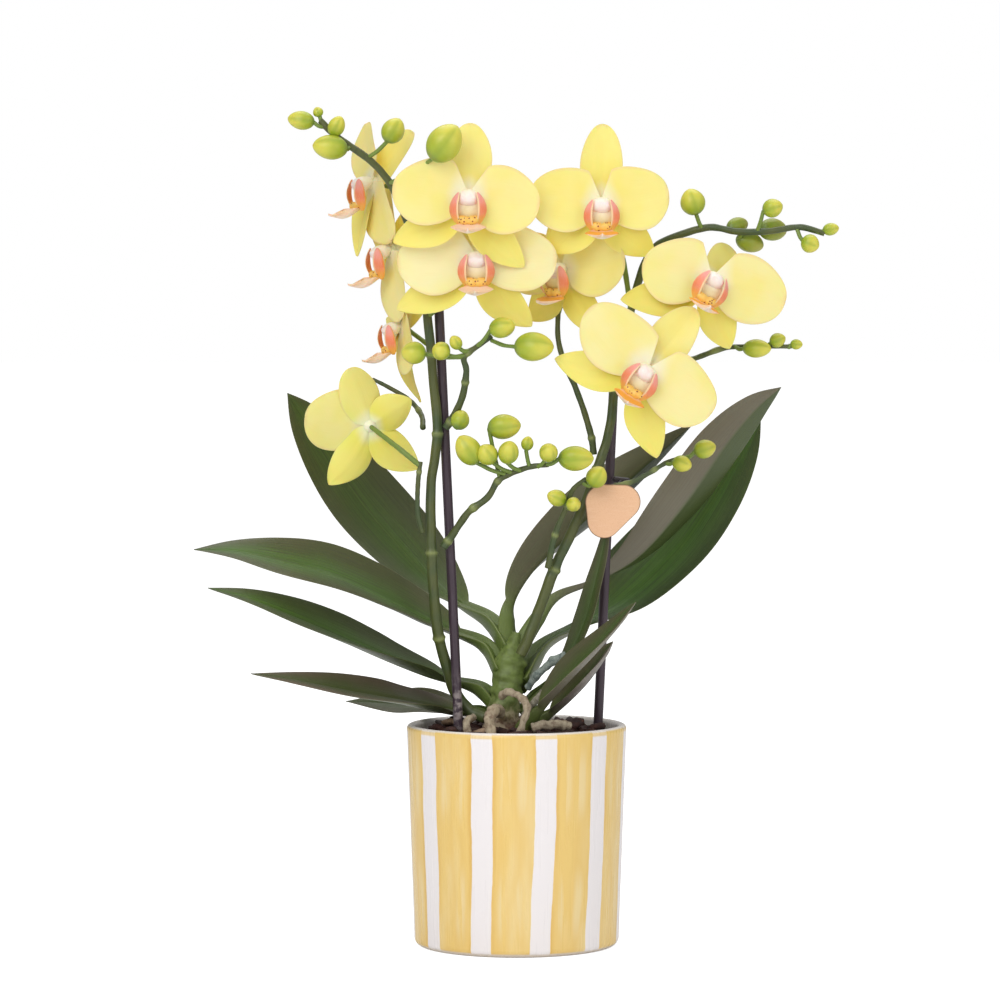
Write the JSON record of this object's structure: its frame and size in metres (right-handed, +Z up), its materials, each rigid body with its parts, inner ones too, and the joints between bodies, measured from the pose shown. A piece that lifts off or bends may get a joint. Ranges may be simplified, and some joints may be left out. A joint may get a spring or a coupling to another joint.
{
  "type": "potted orchid",
  "caption": "Moth orchid with pale yellow flowers and green buds on two staked spikes, in a white ceramic cover pot with yellow hand-painted stripes.",
  "frame": {"origin": "centre of the underside of the cover pot", "axes": "+Z up along the pot's axis; the open flowers look towards -Y, and +X is to the right of someone facing them"},
  "size_m": [0.3073, 0.1376, 0.4033],
  "materials": {
    "pot_glaze": "gloss",
    "grow_pot_plastic": "satin",
    "bark": "matte",
    "stem": "satin",
    "leaf": "satin",
    "petal": "satin",
    "lip": "satin",
    "root": "matte",
    "stake": "satin",
    "tag": "matte",
    "clip": "satin"
  },
  "bodies": {
    "root": {"ceramic_pot": "pot_glaze", "grow_pot": "grow_pot_plastic", "bark_substrate": "bark", "bark_chip_01": "bark", "bark_chip_02": "bark", "bark_chip_03": "bark", "crown": "stem", "left_spike": "stem", "left_upper_branch": "stem", "left_lower_branch": "stem", "left_side_branch": "stem", "left_back_branch": "stem", "right_spike": "stem", "right_upper_branch": "stem", "right_bud_branch": "stem", "right_low_branch": "stem", "right_inner_branch": "stem", "leaf_01": "leaf", "leaf_02": "leaf", "leaf_03": "leaf", "leaf_04": "leaf", "leaf_05": "leaf", "leaf_06": "leaf", "leaf_07": "leaf", "leaf_08": "leaf", "leaf_09": "leaf", "leaf_10": "leaf", "leaf_11": "leaf", "flower_01": "petal", "flower_01_lip": "lip", "flower_02": "petal", "flower_02_lip": "lip", "flower_03": "petal", "flower_03_lip": "lip", "flower_04": "petal", "flower_04_lip": "lip", "flower_05": "petal", "flower_05_lip": "lip", "flower_06": "petal", "flower_06_lip": "lip", "flower_07": "petal", "flower_07_lip": "lip", "flower_08": "petal", "flower_08_lip": "lip", "flower_09": "petal", "flower_09_lip": "lip", "flower_10": "petal", "flower_10_lip": "lip", "aerial_root_01": "root", "aerial_root_02": "root", "aerial_root_03": "root", "aerial_root_04": "root", "aerial_root_05": "root", "aerial_root_06": "root", "left_stake": "stake", "right_stake": "stake", "plant_tag": "tag", "tag_clip": "clip"}
  },
  "joints": []
}
